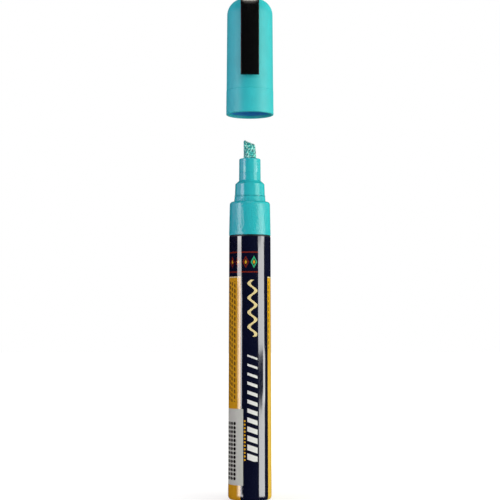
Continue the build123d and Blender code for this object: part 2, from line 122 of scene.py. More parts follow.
def new_material(name):
    """An empty material with its Principled shader, and the place on the piece."""
    made = bpy.data.materials.new(name)
    made.use_nodes = True
    tree = made.node_tree
    return made, tree, tree.nodes["Principled BSDF"], put(tree, "ShaderNodeTexCoord").outputs["Object"]


def surface(tree, shader, color, rough, height, relief):
    """Feeds colour, roughness and height into a shader, with the relief in millimetres."""
    bump = put(tree, "ShaderNodeBump", {"Height": height, "Distance": relief * MM}).outputs[0]
    for value, socket in ((color, "Base Color"), (rough, "Roughness"), (bump, "Normal")):
        tree.links.new(value, shader.inputs[socket])


def moulded_plastic(name, color, mottle, gloss, grain, relief, ior=1.49):
    """A plastic with the moulded skin. gloss is its lowest and highest roughness."""
    made, tree, shader, place = new_material(name)
    sockets = {
        "Place": place,
        "Color": color,
        "Mottle": mottle,
        "Gloss Low": gloss[0],
        "Gloss High": gloss[1],
        "Grain": grain,
    }
    skin = put(tree, "ShaderNodeGroup", sockets, node_tree=moulded_skin).outputs
    surface(tree, shader, skin["Color"], skin["Roughness"], skin["Height"], relief)
    shader.inputs["IOR"].default_value = ior
    return made


def dress(material, *names):
    """Gives CAD nodes their finish."""
    for name in names:
        nodes[name].data.materials.clear()
        nodes[name].data.materials.append(material)


barrel_plastic = moulded_plastic(
    "barrel_plastic", BARREL_BLACK, mottle=0.3, gloss=(0.35, 0.5), grain=3000.0, relief=0.01
)
dress(barrel_plastic, "barrel", "tail_plug")


# Printed film: a clear shrink sleeve printed on its inside, shrunk tight over the barrel and round the
# edge of the tail plug. Its lap is welded down the back.
FILM_TOP = 94.55
FILM_HEAD = 2.4  # where the straight wall starts
FILM_WALL = 0.10
FILM_TRIM = 0.03
FILM_EDGE = 1.2  # radius of the plug's rounded edge
FILM_EDGE_CENTRE = 6.55
FILM_WRAP = 60  # degrees round that edge
FILM_TOP_RADIUS = 7.452
FILM_TAIL_RADIUS = 7.75
FILM_STEPS = 240
FILM_ARC_STEPS = 14
SHARP_ANGLE = 32
LAP_ANGLE = 9  # degrees to each side
LAP_RISE = 0.03
LAP_FOOT = (0.001, 0.05)  # in, and up from the start of the straight wall

# Gloss and ripples of the sleeve, and how sharply its print ends
FILM_GLOSS = (0.045, 0.10)
FILM_IOR = 2.0
FILM_RIPPLES = (240.0, 240.0, 60.0)
RIPPLE_DEPTH = 0.03
PATCH_MATT = 0.5
INK_CLOUDS = 420.0
INK_EDGE = 16.0  # per millimetre

# Inks
NAVY = (0.0032, 0.0042, 0.0165, 1)
NAVY_DEEP = (0.0024, 0.0032, 0.012, 1)
GOLD = (0.68, 0.365, 0.018, 1)
GOLD_DEEP = (0.57, 0.29, 0.010, 1)
GOLD_PALE = (0.70, 0.43, 0.07, 1)
CREAM = (0.80, 0.66, 0.33, 1)
PALE = (0.52, 0.56, 0.48, 1)
PALE_DEEP = (0.45, 0.485, 0.42, 1)
CHALK_WHITE = (0.80, 0.80, 0.78, 1)
RUSSET = (0.16, 0.016, 0.008, 1)
LEAF = (0.03, 0.42, 0.19, 1)
INK_DARK = (0.022, 0.016, 0.012, 1)
INK_BLACK = (0.008, 0.007, 0.006, 1)

# Places of the print: left and right across the film from the middle of the front, low and high along it
PANEL_LEFT = (-16.9, -3.5)
PANEL_RIGHT = (7.65, 20.3)
PANEL_HEIGHT = (-5.0, 79.5)
PANEL_FADE = (66.0, 36.0)  # the right panel pales from one height to the other
PANEL_RULE = (79.6, 80.0)
DASHES_LEFT = (-15.6, -5.3, 35.0, 78.3)
DASHES_NEAR = (8.1, 8.55, 54.0, 78.3)
DASHES_FAR = (11.0, 18.6, 20.0, 76.0)
DASH_START = 41.0
DASH_PITCH = 2.0
DASH_HALF = 0.66
DASH_LEAN = 0.45
DASH_INK = 0.8
COLUMN_START = -15.76
COLUMN_PITCH = 1.48
COLUMN_HALF = 0.40
PATCH = (-14.6, -2.43, 5.5, 32.6)
LATTICE = (-14.3, -5.3, 7.1, 28.1)
DOT_PITCH = 1.5
DOT_RADIUS = 0.62
LOZENGES = (-12.2, 3.05, 82.0, 88.4)
LOZENGE_LAST = (0.0, 3.05, 82.0, 88.4)
LOZENGE_RULES = ((88.5, 88.95), (81.4, 81.85))
LOZENGE_PITCH = 3.05
LOZENGE_MIDDLE = 85.2
LOZENGE_SLOPES = (0.83, 0.45)  # per millimetre across and along
LOZENGE_RIM = 0.18
LOZENGE_SEED = 0.62
STROKE = (-1.1, 3.0, 58.4, 78.8)
STROKE_HALF = 0.62
WAVE_START = 58.0
WAVE_LENGTH = 5.2
WAVE_SWING = 1.25
WAVE_MIDDLE = 0.95
BARS = (-0.9, 2.8, 14.0, 53.0)
BAR_PITCH = 3.25
BAR_HALF = 1.42
BAR_TAPER = -0.021  # per millimetre along
BAR_LEAN = 0.35
SMALL_DOTS = (-2.5, -1.2, 14.0, 29.0)
SMALL_COLUMN = -1.85
SMALL_PITCH = 1.25
SMALL_RADIUS = 0.36


def arc(centre_r, centre_z, radius, start, end, steps):
    """Points on an arc, in degrees from the outward direction."""
    turn = [radians(start + (end - start) * i / steps) for i in range(steps + 1)]
    return [(centre_r + radius * cos(a), centre_z + radius * sin(a)) for a in turn]


def mesh_object(name, mesh, body, material=None):
    """A named object for a mesh, shaded smooth except at its edges, riding on a body."""
    if material:
        mesh.materials.clear()
        mesh.materials.append(material)
    mesh.set_sharp_from_angle(angle=radians(SHARP_ANGLE))
    made = bpy.data.objects.new(name, mesh)
    bpy.context.collection.objects.link(made)
    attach(made, body)
    return made


def turned_mesh(name, outline, steps, swell=None):
    """A closed outline of (radius, height) in millimetres, turned about Z into a mesh in metres."""
    work = bmesh.new()
    rings = []
    for radius, height in outline:
        ring = []
        for i in range(steps):
            turn = 2 * pi * i / steps
            reach = radius + (swell(turn, radius, height) if swell else 0)
            ring.append(work.verts.new((reach * cos(turn) * MM, reach * sin(turn) * MM, height * MM)))
        rings.append(ring)
    for here, after in zip(rings, rings[1:] + rings[:1]):
        for i in range(steps):
            j = (i + 1) % steps
            work.faces.new((here[i], here[j], after[j], after[i]))
    bmesh.ops.remove_doubles(work, verts=work.verts, dist=1e-7)
    bmesh.ops.recalc_face_normals(work, faces=work.faces)
    mesh = bpy.data.meshes.new(name)
    work.to_mesh(mesh)
    work.free()
    return mesh


def lap(turn, radius, height):
    """The film is thicker where its two ends overlap at the back."""
    away = abs(turn - pi / 2)
    outside = radius > FILM_TOP_RADIUS + FILM_WALL / 2 and height > FILM_HEAD
    return LAP_RISE if outside and away < radians(LAP_ANGLE) else 0


film_outline = (
    arc(FILM_EDGE_CENTRE, FILM_EDGE, FILM_EDGE + FILM_WALL, -FILM_WRAP, 0, FILM_ARC_STEPS)
    + [
        (FILM_TAIL_RADIUS + FILM_WALL, FILM_HEAD),
        (FILM_TAIL_RADIUS + FILM_WALL - LAP_FOOT[0], FILM_HEAD + LAP_FOOT[1]),
        (FILM_TOP_RADIUS + FILM_WALL, FILM_TOP - FILM_TRIM),
        (FILM_TOP_RADIUS + FILM_WALL - FILM_TRIM, FILM_TOP),
        (FILM_TOP_RADIUS, FILM_TOP),
        (FILM_TAIL_RADIUS, FILM_HEAD),
    ]
    + arc(FILM_EDGE_CENTRE, FILM_EDGE, FILM_EDGE, 0, -FILM_WRAP, FILM_ARC_STEPS)
)


def tint(tree, factor, first, second):
    """Mixes two colours by a mask."""
    return put(tree, "ShaderNodeMix", {0: factor, 6: first, 7: second}, data_type="RGBA").outputs[2]


def stretched(tree, place, scale):
    """The place on a piece, scaled along each axis."""
    return put(tree, "ShaderNodeMapping", {"Vector": place, "Scale": scale}).outputs[0]


def sharp(tree, value):
    """Turns a distance inside an edge, in millimetres, into a clear-cut mask."""
    steep = calc(tree, "MULTIPLY_ADD", value, INK_EDGE, 0.5)
    return put(tree, "ShaderNodeClamp", {"Value": steep}).outputs[0]


def printed_block_group():
    """A printed block: 1 inside the four edges, in millimetres across and along the film."""
    edges = ("Across", "Along", "Left", "Right", "Low", "High")
    group, given, result = new_group("printed_block", dict.fromkeys(edges, "Float"), {"Mask": "Float"})
    insets = [
        calc(group, "SUBTRACT", given[more], given[less])
        for more, less in (("Across", "Left"), ("Right", "Across"), ("Along", "Low"), ("High", "Along"))
    ]
    sides = calc(group, "MINIMUM", *insets[:2])
    ends = calc(group, "MINIMUM", *insets[2:])
    mask = sharp(group, calc(group, "MINIMUM", sides, ends))
    group.links.new(mask, result["Mask"])
    return group


def printed_film():
    """The film's print: a dark ground, gold side panels and plain ornaments, under a glossy sleeve."""
    made, tree, shader, place = new_material("printed_film")
    axes = put(tree, "ShaderNodeSeparateXYZ", {0: place}).outputs
    turn = calc(tree, "ARCTAN2", axes["X"], calc(tree, "MULTIPLY", axes["Y"], -1.0))
    across = calc(tree, "MULTIPLY", turn, FILM_TAIL_RADIUS)
    along = calc(tree, "MULTIPLY", axes["Z"], 1 / MM)
    block_group = printed_block_group()

    def block(left, right, low, high):
        """1 inside a block of the print."""
        sockets = dict(Across=across, Along=along, Left=left, Right=right, Low=low, High=high)
        return put(tree, "ShaderNodeGroup", sockets, node_tree=block_group).outputs["Mask"]

    def both(first, second):
        """The product, and of two masks where both are 1."""
        return calc(tree, "MULTIPLY", first, second)

    def either(first, second):
        """The larger, and of two masks where either is 1."""
        return calc(tree, "MAXIMUM", first, second)

    def less(first, second):
        """The first value less the second."""
        return calc(tree, "SUBTRACT", first, second)

    def size(value):
        """A value without its sign."""
        return calc(tree, "ABSOLUTE", value)

    def within(half, off):
        """1 where a distance is less than a half width."""
        return sharp(tree, less(half, size(off)))

    def length(first, second):
        """Distance from the middle of a dot."""
        return calc(tree, "SQRT", calc(tree, "ADD", both(first, first), both(second, second)))

    def repeat(value, start, pitch):
        """Distance, in millimetres, from the middle of the nearest of a row of cells."""
        share = calc(tree, "FRACT", calc(tree, "DIVIDE", less(value, start), pitch))
        return both(less(share, 0.5), pitch)

    # Clouded inks, so that no panel is one flat colour
    cloud = noise(tree, place, INK_CLOUDS, 4.0)
    gold = tint(tree, cloud, GOLD_DEEP, GOLD)
    ground = tint(tree, cloud, NAVY_DEEP, NAVY)
    pale = tint(tree, cloud, PALE_DEEP, PALE)

    # Gold panels, with a cream rule along their top
    color = tint(tree, block(*PANEL_LEFT, *PANEL_HEIGHT), ground, gold)
    faded = tint(tree, ramp(tree, along, *PANEL_FADE), gold, GOLD_PALE)
    color = tint(tree, block(*PANEL_RIGHT, *PANEL_HEIGHT), color, faded)
    rules = either(block(*PANEL_LEFT, *PANEL_RULE), block(*PANEL_RIGHT, *PANEL_RULE))
    color = tint(tree, rules, color, CREAM)

    # Rows of dashes down the gold, stepped like twill
    stepped = calc(tree, "MULTIPLY_ADD", across, DASH_LEAN, along)
    dash = within(DASH_HALF, repeat(stepped, DASH_START, DASH_PITCH))
    rows = both(within(COLUMN_HALF, repeat(across, COLUMN_START, COLUMN_PITCH)), dash)
    marks = both(either(block(*DASHES_LEFT), block(*DASHES_FAR)), rows)
    marks = either(marks, both(block(*DASHES_NEAR), dash))
    color = tint(tree, both(marks, DASH_INK), color, INK_DARK)

    # Pale matt patch with a lattice of glossy dots
    patch = block(*PATCH)
    color = tint(tree, patch, color, pale)
    dot_reach = length(repeat(across, LATTICE[0], DOT_PITCH), repeat(along, LATTICE[2], DOT_PITCH))
    dots = both(block(*LATTICE), within(DOT_RADIUS, dot_reach))
    color = tint(tree, dots, color, INK_BLACK)

    # Russet ornament below the collar: a row of lozenges between two rules, the last one green
    slope_x = both(size(repeat(across, LOZENGES[0], LOZENGE_PITCH)), LOZENGE_SLOPES[0])
    slope_z = both(size(less(along, LOZENGE_MIDDLE)), LOZENGE_SLOPES[1])
    inside = less(1.0, calc(tree, "ADD", slope_x, slope_z))
    row = block(*LOZENGES)
    rims = both(row, within(LOZENGE_RIM, less(inside, LOZENGE_RIM)))
    rules = either(*(block(*LOZENGES[:2], *rule) for rule in LOZENGE_RULES))
    color = tint(tree, either(rims, rules), color, RUSSET)
    color = tint(tree, both(rims, block(*LOZENGE_LAST)), color, LEAF)
    color = tint(tree, both(row, sharp(tree, less(inside, LOZENGE_SEED))), color, GOLD)

    # Front panel: a wavy chalk stroke, bars of growing width, and a row of small dots
    phase = both(less(along, WAVE_START), 2 * pi / WAVE_LENGTH)
    middle = calc(tree, "MULTIPLY_ADD", calc(tree, "SINE", phase), WAVE_SWING, WAVE_MIDDLE)
    color = tint(tree, both(block(*STROKE), within(STROKE_HALF, less(across, middle))), color, CREAM)
    slanted = calc(tree, "MULTIPLY_ADD", across, BAR_LEAN, along)
    bar_half = calc(tree, "MULTIPLY_ADD", along, BAR_TAPER, BAR_HALF)
    bars = both(block(*BARS), within(bar_half, repeat(slanted, BARS[2], BAR_PITCH)))
    color = tint(tree, bars, color, CHALK_WHITE)
    small_reach = length(less(across, SMALL_COLUMN), repeat(along, SMALL_DOTS[2], SMALL_PITCH))
    color = tint(tree, both(block(*SMALL_DOTS), within(SMALL_RADIUS, small_reach)), color, GOLD)

    # The sleeve's own gloss, with the faint ripples of shrinking
    gloss = ramp(tree, cloud, 0.0, 1.0, *FILM_GLOSS)
    rough = calc(tree, "MULTIPLY_ADD", less(patch, dots), PATCH_MATT, gloss)
    ripple = noise(tree, stretched(tree, place, FILM_RIPPLES), 1.0, 2.0)
    surface(tree, shader, color, rough, ripple, RIPPLE_DEPTH)
    shader.inputs["IOR"].default_value = FILM_IOR
    return made


film_mesh = turned_mesh("label_sleeve", film_outline, FILM_STEPS, lap)
label_film = mesh_object("label_sleeve", film_mesh, "pen", printed_film())
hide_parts("label_film")


# Front collar: one turquoise moulding with a fine grain. Its ribbed skirt plugs the barrel, its rim
# overhangs the film a little, and the nozzle snaps into its neck.
COLLAR_BASE = 95.15
COLLAR_TOP = 107.45
COLLAR_RADII = (7.586, 7.325)
COLLAR_ROUNDS = (0.17, 1.05)
NECK_TOP = 109.35
NECK_RADII = (5.76, 5.56)
NECK_ROUNDS = (0.06, 0.08, 0.05)
NECK_BORE = 4.6
NOZZLE_BOTTOM = 101.35
SNAP = (103.55, 103.95, 104.35)  # lower end, crest and upper end
SNAP_DEPTH = 0.15
SKIRT_BOTTOM = 85.95
SKIRT_BORE = 5.3
SKIRT_PLAY = 0.25
SKIRT_ROUND = 0.1
RIB_PLACES = (1 / 3, 2 / 3)  # shares of the skirt's height
RIB_HALF = (0.4, 0.8)  # half heights of crest and foot
RIB_PLAY = 0.03
BARREL_BORE = (6.45, 6.75)
BARREL_LENGTH = 92.75
TURN_STEPS = 192
TURQUOISE = (0.023, 0.448, 0.500, 1)


def barrel_bore(height):
    """Radius of the barrel's bore, wider towards the tail."""
    return BARREL_BORE[0] + (BARREL_BORE[1] - BARREL_BORE[0]) * (COLLAR_BASE - height) / BARREL_LENGTH


def rounded(corners, steps=8):
    """Rounds the corners of a closed outline: each is (radius, height) or (radius, height, round)."""
    made = []
    count = len(corners)
    for i, corner in enumerate(corners):
        here = Vector(corner[:2])
        reach = corner[2] if len(corner) > 2 else 0
        if not reach:
            made.append(tuple(here))
            continue
        before = (Vector(corners[i - 1][:2]) - here).normalized()
        after = (Vector(corners[(i + 1) % count][:2]) - here).normalized()
        half = before.angle(after) / 2
        middle = here + (before + after).normalized() * reach / sin(half)
        start = here + before * reach / tan(half) - middle
        end = here + after * reach / tan(half) - middle
        sweep = start.angle_signed(end)
        for k in range(steps + 1):
            turn = -sweep * k / steps
            across = middle.x + start.x * cos(turn) - start.y * sin(turn)
            along = middle.y + start.x * sin(turn) + start.y * cos(turn)
            made.append((across, along))
    return made


def skirt(low, high):
    """Outline of a skirt in the barrel with its two sealing ribs."""
    points = [(barrel_bore(low) - SKIRT_PLAY, low, SKIRT_ROUND)]
    crest, foot = RIB_HALF
    rib = ((-foot, SKIRT_PLAY), (-crest, RIB_PLAY), (crest, RIB_PLAY), (foot, SKIRT_PLAY))
    for share in RIB_PLACES:
        middle = low + share * (high - low)
        for height, inset in rib:
            points.append((barrel_bore(middle) - inset, middle + height, SKIRT_ROUND))
    points.append((barrel_bore(high) - SKIRT_PLAY, high))
    return points


collar_outline = [
    (SKIRT_BORE, SKIRT_BOTTOM),
    *skirt(SKIRT_BOTTOM, COLLAR_BASE),
    (COLLAR_RADII[0], COLLAR_BASE, COLLAR_ROUNDS[0]),
    (COLLAR_RADII[1], COLLAR_TOP, COLLAR_ROUNDS[1]),
    (NECK_RADII[0], COLLAR_TOP, NECK_ROUNDS[0]),
    (NECK_RADII[1], NECK_TOP, NECK_ROUNDS[1]),
    (NECK_BORE, NECK_TOP, NECK_ROUNDS[2]),
    (NECK_BORE, SNAP[2]),
    (NECK_BORE + SNAP_DEPTH, SNAP[1]),
    (NECK_BORE, SNAP[0]),
    (NECK_BORE, NOZZLE_BOTTOM),
    (SKIRT_BORE, NOZZLE_BOTTOM),
]
grained_turquoise = moulded_plastic(
    "grained_turquoise", TURQUOISE, mottle=0.12, gloss=(0.12, 0.20), grain=1500.0, relief=0.15, ior=1.6
)
collar_mesh = turned_mesh("grip_collar", rounded(collar_outline), TURN_STEPS)
collar = mesh_object("grip_collar", collar_mesh, "pen", grained_turquoise)
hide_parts("front_collar")


# Nozzle: a polished moulding in the same colour. Lip, shank, cone and tube step down to the nib,
# and four air vents run along the nib's bore.
PLUG_RADIUS = 4.57
PLUG_ROUND = 0.15
LIP_TOP = 109.70
LIP_RADIUS = 5.65
LIP_SEAT = 5.2
LIP_GAP = 0.12
LIP_ROUNDS = (0.05, 0.08)
SHANK_TOP = 113.95
SHANK_RADII = (5.47, 5.325)
SHANK_ROUNDS = (0.03, 0.25)
CONE_TOP = 115.20
TUBE_TOP = 123.30
TUBE_RADII = (3.96, 3.885)
TUBE_ROUNDS = (0.06, 0.35)
RING_LOW = 118.0
RING_HIGH = 118.25
RING_RADII = (3.934, 3.874, 3.932)  # below, in and above the ring
RING_ROUND = 0.02
NIB_BORE = 2.35
NIB_STOP = 112.15
CHAMBER_TOP = 104.35
CHAMBER_RADII = (3.6, 2.75)
VENT = 0.35  # radius
HAIR = 0.001  # nearer than this counts as equal
nozzle_outline = [
    (CHAMBER_RADII[0], NOZZLE_BOTTOM),
    (PLUG_RADIUS, NOZZLE_BOTTOM, PLUG_ROUND),
    (PLUG_RADIUS, SNAP[0]),
    (PLUG_RADIUS + SNAP_DEPTH, SNAP[1]),
    (PLUG_RADIUS, SNAP[2]),
    (PLUG_RADIUS, NECK_TOP),
    (LIP_SEAT, NECK_TOP),
    (LIP_SEAT, NECK_TOP + LIP_GAP),
    (LIP_RADIUS, NECK_TOP + LIP_GAP, LIP_ROUNDS[0]),
    (LIP_RADIUS, LIP_TOP, LIP_ROUNDS[1]),
    (SHANK_RADII[0], LIP_TOP, SHANK_ROUNDS[0]),
    (SHANK_RADII[1], SHANK_TOP, SHANK_ROUNDS[1]),
    (TUBE_RADII[0], CONE_TOP, TUBE_ROUNDS[0]),
    (RING_RADII[0], RING_LOW, RING_ROUND),
    (RING_RADII[1], RING_LOW, RING_ROUND),
    (RING_RADII[1], RING_HIGH, RING_ROUND),
    (RING_RADII[2], RING_HIGH, RING_ROUND),
    (TUBE_RADII[1], TUBE_TOP, TUBE_ROUNDS[1]),
    (NIB_BORE, TUBE_TOP),
    (NIB_BORE, NIB_STOP),
    (CHAMBER_RADII[1], NIB_STOP),
    (CHAMBER_RADII[1], CHAMBER_TOP),
    (CHAMBER_RADII[0], CHAMBER_TOP),
]


def vents(turn, radius, height):
    """Widens the nib's bore into the four vents."""
    if abs(radius - NIB_BORE) > HAIR:
        return 0
    off = turn % (pi / 2) - pi / 4
    across = NIB_BORE * sin(off)
    if abs(across) >= VENT:
        return 0
    return NIB_BORE * (cos(off) - 1) + sqrt(VENT * VENT - across * across)


polished_turquoise = moulded_plastic(
    "polished_turquoise", TURQUOISE, mottle=0.10, gloss=(0.13, 0.2), grain=1500.0, relief=0.006, ior=1.6
)
nozzle_mesh = turned_mesh("stepped_nozzle", rounded(nozzle_outline), TURN_STEPS, vents)
nozzle = mesh_object("stepped_nozzle", nozzle_mesh, "pen", polished_turquoise)
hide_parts("nozzle")


# Nib: a rod of bonded polyester fibres, ground to a slanting chisel and soaked with colour. Its surface
# is rough, with loose strands lying along the rod.
NIB_VOXEL = 0.11
NIB_RELIEF = 0.13
NIB_SINK = 0.55  # level of the noise that stays where it is
NIB_GRAIN = (4200.0, 4200.0, 1300.0)
NIB_BUMP = 0.08
NIB_GLOSS = (0.55, 0.9)
NIB_DRAWN = (2600.0, 2600.0, 1700.0)
NIB_PORES = 0.8
NIB_PORE_EDGE = (0.38, 0.55)
NIB_STRAND_EDGE = (0.53, 0.60)
NIB_TEAL = (0.04, 0.60, 0.55, 1)
NIB_DARK = (0.01, 0.18, 0.18, 1)
NIB_LIGHT = (0.48, 0.92, 0.84, 1)
STRANDS_PER_AREA = 4.0e6  # per square metre
STRAND_LENGTH = 0.9
STRAND_WIDTH = 0.035
STRAND_SIDES = 5
STRAND_LEAN = ((-0.12, -0.12, 0.0), (0.12, 0.12, 6.28))  # least and most turn, in radians
STRAND_SIZE = ((0.6, 0.6, 0.4), (1.2, 1.2, 1.1))  # least and most share of width and length
STRAND_SEED = 7


def nib_fibre():
    """Soaked fibre: dark pores and light strands, drawn out along the rod."""
    made, tree, shader, place = new_material("nib_fibre")
    drawn = stretched(tree, place, NIB_DRAWN)
    strands = noise(tree, drawn, 1.0, 3.0)
    pores = put(tree, "ShaderNodeTexVoronoi", {"Vector": drawn, "Scale": NIB_PORES}).outputs["Distance"]
    color = tint(tree, ramp(tree, pores, *NIB_PORE_EDGE), NIB_TEAL, NIB_DARK)
    color = tint(tree, ramp(tree, strands, *NIB_STRAND_EDGE), color, NIB_LIGHT)
    rough = ramp(tree, strands, 0.0, 1.0, *NIB_GLOSS)
    surface(tree, shader, color, rough, strands, NIB_BUMP)
    return made


def end_tree(tree, shape, given, result):
    """Ends a Geometry Nodes tree: instances made real, and the material set."""
    whole = put(tree, "GeometryNodeRealizeInstances", {0: shape}).outputs[0]
    dressed = put(tree, "GeometryNodeSetMaterial", {"Geometry": whole, "Material": given["Material"]})
    tree.links.new(dressed.outputs[0], result["Geometry"])


def fibre_tree():
    """Geometry Nodes: roughens a rod along its normals and lays loose strands on it, along Z."""
    tree, given, result = new_group(
        "fibre_rod",
        {
            "Geometry": "Geometry",
            "Relief": "Float",
            "Strands per Area": "Float",
            "Strand Length": "Float",
            "Strand Width": "Float",
            "Seed": "Int",
            "Material": "Material",
        },
        {"Geometry": "Geometry"},
        "GeometryNodeTree",
    )
    position = put(tree, "GeometryNodeInputPosition").outputs[0]
    normal = put(tree, "GeometryNodeInputNormal").outputs[0]
    drawn = put(tree, "ShaderNodeVectorMath", {0: position, 1: NIB_GRAIN}, operation="MULTIPLY")
    swing = calc(tree, "SUBTRACT", noise(tree, drawn.outputs[0], 1.0, 2.0), NIB_SINK)
    depth = calc(tree, "MULTIPLY", swing, given["Relief"])
    push = put(tree, "ShaderNodeVectorMath", {0: normal, "Scale": depth}, operation="SCALE").outputs[0]
    pushed = {"Geometry": given["Geometry"], "Offset": push}
    rough = put(tree, "GeometryNodeSetPosition", pushed).outputs[0]
    points = put(
        tree,
        "GeometryNodeDistributePointsOnFaces",
        {"Mesh": rough, "Density": given["Strands per Area"], "Seed": given["Seed"]},
    )
    strand = put(
        tree,
        "GeometryNodeMeshCylinder",
        {"Vertices": STRAND_SIDES, "Radius": given["Strand Width"], "Depth": given["Strand Length"]},
    )
    lean, size = (
        put(
            tree,
            "FunctionNodeRandomValue",
            {"Min": least, "Max": most, "Seed": given["Seed"]},
            data_type="FLOAT_VECTOR",
        )
        for least, most in (STRAND_LEAN, STRAND_SIZE)
    )
    laid = put(
        tree,
        "GeometryNodeInstanceOnPoints",
        {
            "Points": points.outputs["Points"],
            "Instance": strand.outputs["Mesh"],
            "Rotation": lean.outputs[0],
            "Scale": size.outputs[0],
        },
    )
    joined = tree.nodes.new("GeometryNodeJoinGeometry")
    tree.links.new(laid.outputs[0], joined.inputs[0])
    tree.links.new(rough, joined.inputs[0])
    end_tree(tree, joined.outputs[0], given, result)
    return tree


def evaluated(work, name):
    """The finished mesh of an object with modifiers. The object itself goes."""
    ready = work.evaluated_get(bpy.context.evaluated_depsgraph_get())
    mesh = bpy.data.meshes.new_from_object(ready)
    mesh.name = name
    bpy.data.objects.remove(work)
    return mesh


def grown(name, mesh, tree, **sizes):
    """Runs a Geometry Nodes tree on a mesh and returns the result as a plain mesh."""
    work = bpy.data.objects.new(name, mesh)
    bpy.context.collection.objects.link(work)
    modifier = work.modifiers.new(name, "NODES")
    modifier.node_group = tree
    for item in tree.interface.items_tree:
        if item.in_out == "INPUT" and item.name in sizes:
            modifier[item.identifier] = sizes[item.name]
    return evaluated(work, name)


def fine_copy(node, voxel):
    """A copy of a CAD node, merged and remeshed finely enough to roughen."""
    work = bmesh.new()
    work.from_mesh(nodes[node].data)
    bmesh.ops.remove_doubles(work, verts=work.verts, dist=1e-6)
    mesh = bpy.data.meshes.new(node)
    work.to_mesh(mesh)
    work.free()
    copy = bpy.data.objects.new(node + "_fine", mesh)
    bpy.context.collection.objects.link(copy)
    remesh = copy.modifiers.new("fine", "REMESH")
    remesh.mode = "VOXEL"
    remesh.voxel_size = voxel * MM
    remesh.use_smooth_shade = True
    return evaluated(copy, node + "_fine")


nib_mesh = grown(
    "chisel_nib",
    fine_copy("nib", NIB_VOXEL),
    fibre_tree(),
    **{
        "Relief": NIB_RELIEF * MM,
        "Strands per Area": STRANDS_PER_AREA,
        "Strand Length": STRAND_LENGTH * MM,
        "Strand Width": STRAND_WIDTH * MM,
        "Seed": STRAND_SEED,
        "Material": nib_fibre(),
    },
)
nib = mesh_object("chisel_nib", nib_mesh, "nib_and_stem")
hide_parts("nib")


# Valve: body, stem and cage are moulded in natural acetal, the seat ring is soft rubber, and the spring
# is wound from stainless wire. Pressing the nib opens the poppet against the spring.
ACETAL = (0.72, 0.72, 0.69, 1)
RUBBER_BLACK = (0.02, 0.02, 0.02, 1)
WIRE_STEEL = (0.60, 0.60, 0.61, 1)
DRAW_MARKS = (900.0, 900.0, 4000.0)
DRAW_DEPTH = 0.004
DRAW_SHADE = 0.8  # share of the colour that is left in the marks
SPRING_WIRE = 0.5
SPRING_RADIUS = 2.0
SPRING_TURNS = 6
SPRING_STEPS = 40
SPRING_SIDES = 14
SPRING_LOW = 81.03
SPRING_HIGH = 91.02


def drawn_steel(name, color, gloss):
    """Bare steel with fine draw marks. gloss is its lowest and highest roughness."""
    made, tree, shader, place = new_material(name)
    marks = noise(tree, stretched(tree, place, DRAW_MARKS), 1.0, 3.0)
    darker = (*(DRAW_SHADE * part for part in color[:3]), 1)
    rough = ramp(tree, marks, 0.0, 1.0, *gloss)
    surface(tree, shader, tint(tree, marks, darker, color), rough, marks, DRAW_DEPTH)
    shader.inputs["Metallic"].default_value = 1.0
    return made


def coil_tree():
    """Geometry Nodes: a wire wound into a coil that rises along Z."""
    tree, given, result = new_group(
        "wound_coil",
        {
            "Geometry": "Geometry",
            "Coil Radius": "Float",
            "Wire Radius": "Float",
            "Turns": "Float",
            "Low": "Float",
            "Height": "Float",
            "Material": "Material",
        },
        {"Geometry": "Geometry"},
        "GeometryNodeTree",
    )
    spiral = put(
        tree,
        "GeometryNodeCurveSpiral",
        {
            "Resolution": SPRING_STEPS,
            "Rotations": given["Turns"],
            "Start Radius": given["Coil Radius"],
            "End Radius": given["Coil Radius"],
            "Height": given["Height"],
        },
    )
    ring = put(
        tree,
        "GeometryNodeCurvePrimitiveCircle",
        {"Resolution": SPRING_SIDES, "Radius": given["Wire Radius"]},
    )
    wire = put(
        tree,
        "GeometryNodeCurveToMesh",
        {"Curve": spiral.outputs[0], "Profile Curve": ring.outputs["Curve"], "Fill Caps": True},
    )
    rise = put(tree, "ShaderNodeCombineXYZ", {"Z": given["Low"]}).outputs[0]
    placed = put(tree, "GeometryNodeTransform", {"Geometry": wire.outputs[0], "Translation": rise})
    end_tree(tree, placed.outputs[0], given, result)
    return tree


valve_acetal = moulded_plastic(
    "valve_acetal", ACETAL, mottle=0.08, gloss=(0.35, 0.45), grain=2500.0, relief=0.006
)
dress(valve_acetal, "valve_body", "valve_stem", "spring_cage")
valve_rubber = moulded_plastic(
    "valve_rubber", RUBBER_BLACK, mottle=0.3, gloss=(0.6, 0.75), grain=3500.0, relief=0.01
)
dress(valve_rubber, "valve_seal")
spring_mesh = grown(
    "coil_spring",
    bpy.data.meshes.new("coil_start"),
    coil_tree(),
    **{
        "Coil Radius": SPRING_RADIUS * MM,
        "Wire Radius": SPRING_WIRE / 2 * MM,
        "Turns": float(SPRING_TURNS),
        "Low": SPRING_LOW * MM,
        "Height": (SPRING_HIGH - SPRING_LOW) * MM,
        "Material": drawn_steel("spring_steel", WIRE_STEEL, gloss=(0.2, 0.35)),
    },
)
spring = mesh_object("coil_spring", spring_mesh, "pen")
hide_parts("valve_spring")
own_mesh(spring)


# Mixing ball: a loose ball of stainless steel, ground round. It lies in the chalk and stirs it when
# the pen is shaken.
BALL_STEEL = (0.62, 0.62, 0.63, 1)
dress(drawn_steel("ball_steel", BALL_STEEL, gloss=(0.1, 0.2)), "mixing_ball")


